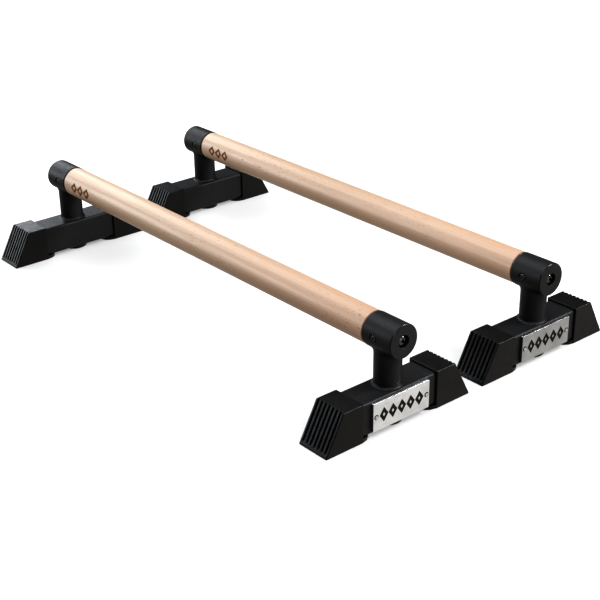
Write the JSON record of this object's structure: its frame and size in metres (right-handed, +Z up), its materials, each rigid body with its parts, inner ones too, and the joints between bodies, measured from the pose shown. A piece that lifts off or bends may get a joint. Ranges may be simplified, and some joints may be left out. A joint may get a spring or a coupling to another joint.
{
  "type": "parallel bars",
  "caption": "Low parallel bars for floor work: round beech rails in black steel sleeves and posts, on square base tubes closed by ribbed rubber caps, with bright nameplates.",
  "frame": {"origin": "centre of the footprint of both bars, on the floor", "axes": "+Z up, rails along Y, nameplates face -Y, left bar at -X and right bar at +X"},
  "size_m": [0.461, 0.7166, 0.1251],
  "materials": {
    "beech": "fine sanded beech, clear matt oil",
    "powder_coat": "black satin powder coat with a fine texture",
    "rubber": "moulded black rubber, matt",
    "brushed_steel": "brushed stainless steel with blank dark inlay",
    "zinc": "bright zinc plate",
    "black_steel": "blackened steel screws, smooth and slightly glossy",
    "brass": "turned brass"
  },
  "bodies": {
    "left_bar": {"left_rail": "beech", "left_front_base_tube": "powder_coat", "left_front_post": "powder_coat", "left_front_sleeve": "powder_coat", "left_front_end_plug": "powder_coat", "left_front_rail_bolt": "black_steel", "left_front_insert": "brass", "left_front_side_screw": "black_steel", "left_front_cap_a": "rubber", "left_front_cap_b": "rubber", "left_front_round_pad": "rubber", "left_front_pad_screw": "zinc", "left_rear_base_tube": "powder_coat", "left_rear_post": "powder_coat", "left_rear_sleeve": "powder_coat", "left_rear_end_plug": "powder_coat", "left_rear_rail_bolt": "black_steel", "left_rear_insert": "brass", "left_rear_side_screw": "black_steel", "left_rear_cap_a": "rubber", "left_rear_cap_b": "rubber", "left_rear_round_pad": "rubber", "left_rear_pad_screw": "zinc", "left_nameplate": "brushed_steel", "left_plate_rivet_1": "zinc", "left_plate_rivet_2": "zinc"},
    "right_bar": {"right_rail": "beech", "right_front_base_tube": "powder_coat", "right_front_post": "powder_coat", "right_front_sleeve": "powder_coat", "right_front_end_plug": "powder_coat", "right_front_rail_bolt": "black_steel", "right_front_insert": "brass", "right_front_side_screw": "black_steel", "right_front_cap_a": "rubber", "right_front_cap_b": "rubber", "right_front_round_pad": "rubber", "right_front_pad_screw": "zinc", "right_rear_base_tube": "powder_coat", "right_rear_post": "powder_coat", "right_rear_sleeve": "powder_coat", "right_rear_end_plug": "powder_coat", "right_rear_rail_bolt": "black_steel", "right_rear_insert": "brass", "right_rear_side_screw": "black_steel", "right_rear_cap_a": "rubber", "right_rear_cap_b": "rubber", "right_rear_round_pad": "rubber", "right_rear_pad_screw": "zinc", "right_nameplate": "brushed_steel", "right_plate_rivet_1": "zinc", "right_plate_rivet_2": "zinc"}
  },
  "joints": [
    {"name": "bar_spacing", "type": "slide", "parent": "left_bar", "child": "right_bar", "axis": [1, 0, 0], "range_m": [-0.018, 0.36]}
  ]
}
